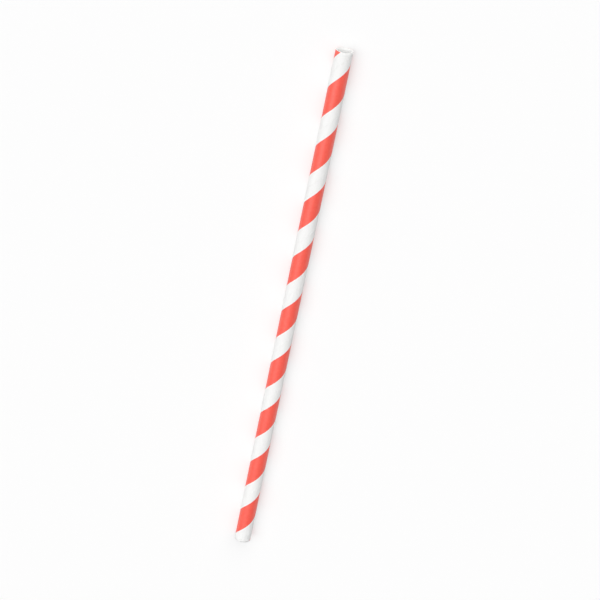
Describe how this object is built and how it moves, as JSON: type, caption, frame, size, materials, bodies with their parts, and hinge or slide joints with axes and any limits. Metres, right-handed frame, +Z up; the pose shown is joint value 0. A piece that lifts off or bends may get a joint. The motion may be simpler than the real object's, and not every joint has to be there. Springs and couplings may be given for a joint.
{
  "type": "paper drinking straw",
  "caption": "Spiral-wound paper tube, open at both ends and cut square, with one printed stripe winding round it: a drinking straw.",
  "frame": {"origin": "middle of the length, on the surface that the straw lies on, straight below its axis", "axes": "+X along the straw towards the end that shows at the top of the picture, +Z up, +Y across"},
  "size_m": [0.197, 0.006, 0.006],
  "materials": {
    "printed_paper": "uncoated white paper, printed outside with a warm red stripe"
  },
  "bodies": {
    "root": {"straw": "printed_paper"}
  },
  "joints": []
}
